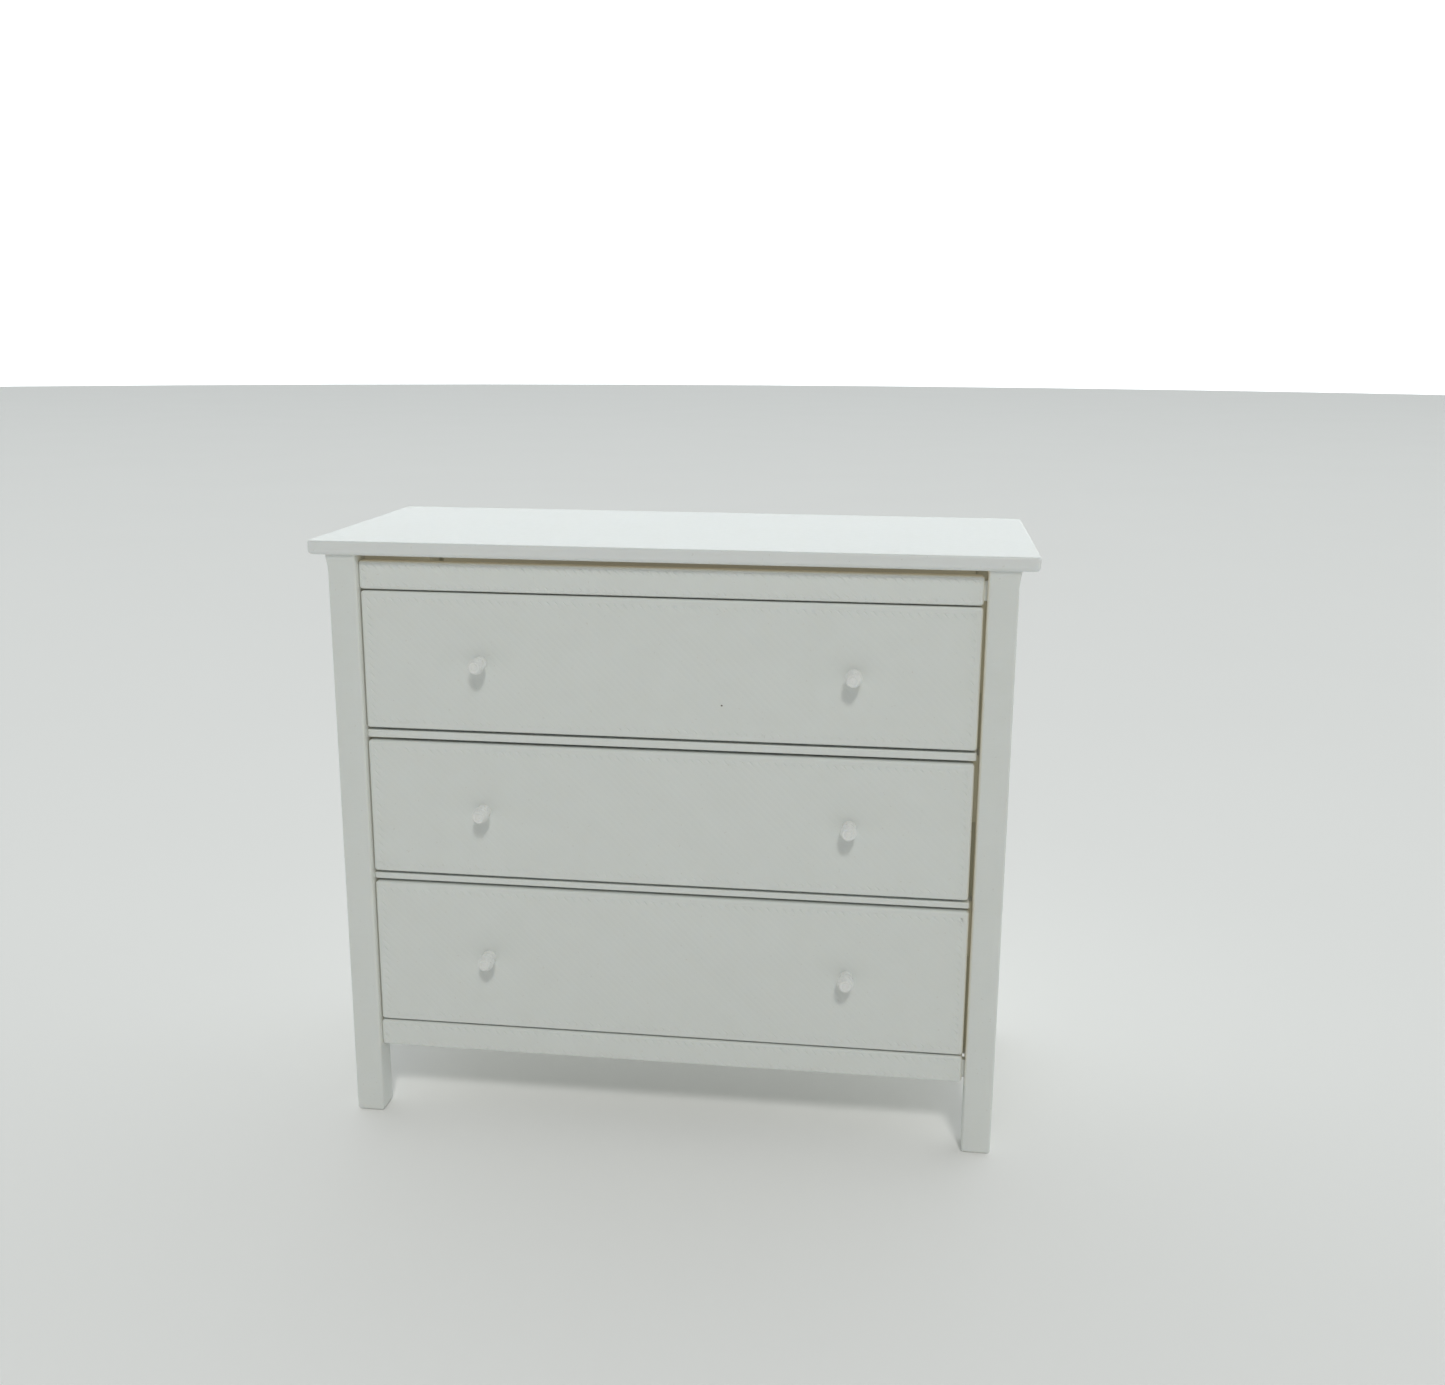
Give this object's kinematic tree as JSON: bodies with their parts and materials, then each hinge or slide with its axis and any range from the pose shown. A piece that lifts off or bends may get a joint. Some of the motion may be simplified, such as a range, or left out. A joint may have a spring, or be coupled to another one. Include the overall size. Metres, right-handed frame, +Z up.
{
  "type": "miniature chest of drawers",
  "caption": "Dolls house chest of drawers: flat overhanging top, square legs, plain inset fronts with small turned knobs, and drawers that slide out of the case.",
  "frame": {"origin": "on the floor, at the middle of the overall width and of the overall depth with the drawers closed", "axes": "+Z up, +X to the right as seen from the front, +Y towards the back; the drawers open towards -Y"},
  "size_m": [0.09, 0.0398, 0.0782],
  "materials": {
    "top_white": "satin",
    "leg_white": "matte, fine level layer lines",
    "front_white": "matte, diagonal printed lines",
    "panel_white": "matte",
    "drawer_box_white": "matte",
    "knob_white": "matte, stepped rings"
  },
  "bodies": {
    "carcass": {"top_board": "top_white", "front_left_leg": "leg_white", "front_right_leg": "leg_white", "rear_left_leg": "leg_white", "rear_right_leg": "leg_white", "left_side_panel": "panel_white", "right_side_panel": "panel_white", "back_panel": "panel_white", "top_rail": "front_white", "upper_shelf": "panel_white", "lower_shelf": "panel_white", "bottom_shelf": "panel_white", "bottom_rail": "front_white"},
    "upper_drawer": {"upper_drawer_front": "front_white", "upper_drawer_left_side": "drawer_box_white", "upper_drawer_right_side": "drawer_box_white", "upper_drawer_back": "drawer_box_white", "upper_drawer_bottom": "drawer_box_white", "upper_left_knob": "knob_white", "upper_right_knob": "knob_white"},
    "middle_drawer": {"middle_drawer_front": "front_white", "middle_drawer_left_side": "drawer_box_white", "middle_drawer_right_side": "drawer_box_white", "middle_drawer_back": "drawer_box_white", "middle_drawer_bottom": "drawer_box_white", "middle_left_knob": "knob_white", "middle_right_knob": "knob_white"},
    "lower_drawer": {"lower_drawer_front": "front_white", "lower_drawer_left_side": "drawer_box_white", "lower_drawer_right_side": "drawer_box_white", "lower_drawer_back": "drawer_box_white", "lower_drawer_bottom": "drawer_box_white", "lower_left_knob": "knob_white", "lower_right_knob": "knob_white"}
  },
  "joints": [
    {"name": "upper_drawer_slide", "type": "slide", "parent": "carcass", "child": "upper_drawer", "axis": [0, -1, 0], "range_m": [0, 0.028]},
    {"name": "middle_drawer_slide", "type": "slide", "parent": "carcass", "child": "middle_drawer", "axis": [0, -1, 0], "range_m": [0, 0.028]},
    {"name": "lower_drawer_slide", "type": "slide", "parent": "carcass", "child": "lower_drawer", "axis": [0, -1, 0], "range_m": [0, 0.028]}
  ]
}
